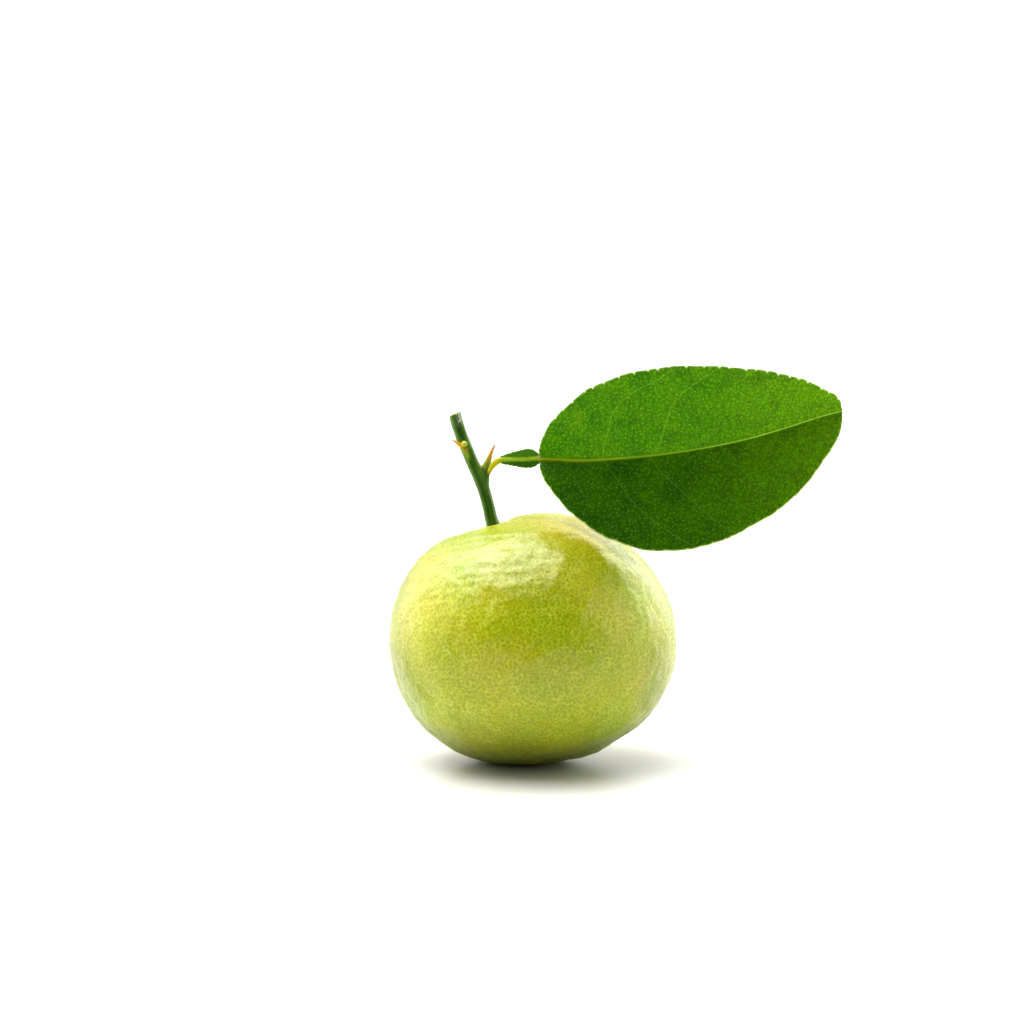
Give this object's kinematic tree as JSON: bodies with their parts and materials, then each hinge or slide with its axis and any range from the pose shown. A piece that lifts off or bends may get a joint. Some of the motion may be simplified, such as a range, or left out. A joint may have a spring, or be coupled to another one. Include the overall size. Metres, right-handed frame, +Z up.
{
  "type": "pati lemon",
  "caption": "Small round yellow-green citrus fruit as picked, resting on a small flat spot, with a cut thorny stem, a winged leaf stalk and a glossy leaf.",
  "frame": {"origin": "the point of the flat rest spot that lies under the fruit's middle", "axes": "+Z up from the rest spot, +X towards the leaf's tip, -Y the side that the leaf's upper face looks to"},
  "size_m": [0.0731, 0.0458, 0.0653],
  "materials": {
    "rind": "waxy yellow-green rind with a fine pale network between oil glands",
    "calyx": "matt, green to pale brown",
    "stem_bark": "satin green bark, lightly ridged, with a pale cut end",
    "thorn": "satin, olive at the foot, orange above, brown at the tip",
    "bud": "satin yellow-green",
    "leaf_stalk": "satin green with a yellow-green rib",
    "leaf_blade": "glossy translucent green with pale veins and fine clear dots"
  },
  "bodies": {
    "root": {"fruit": "rind", "calyx": "calyx", "stem": "stem_bark", "lower_thorn": "thorn", "upper_thorn": "thorn", "lower_bud": "bud", "upper_bud": "bud", "leaf_stalk": "leaf_stalk", "leaf_blade": "leaf_blade"}
  },
  "joints": []
}
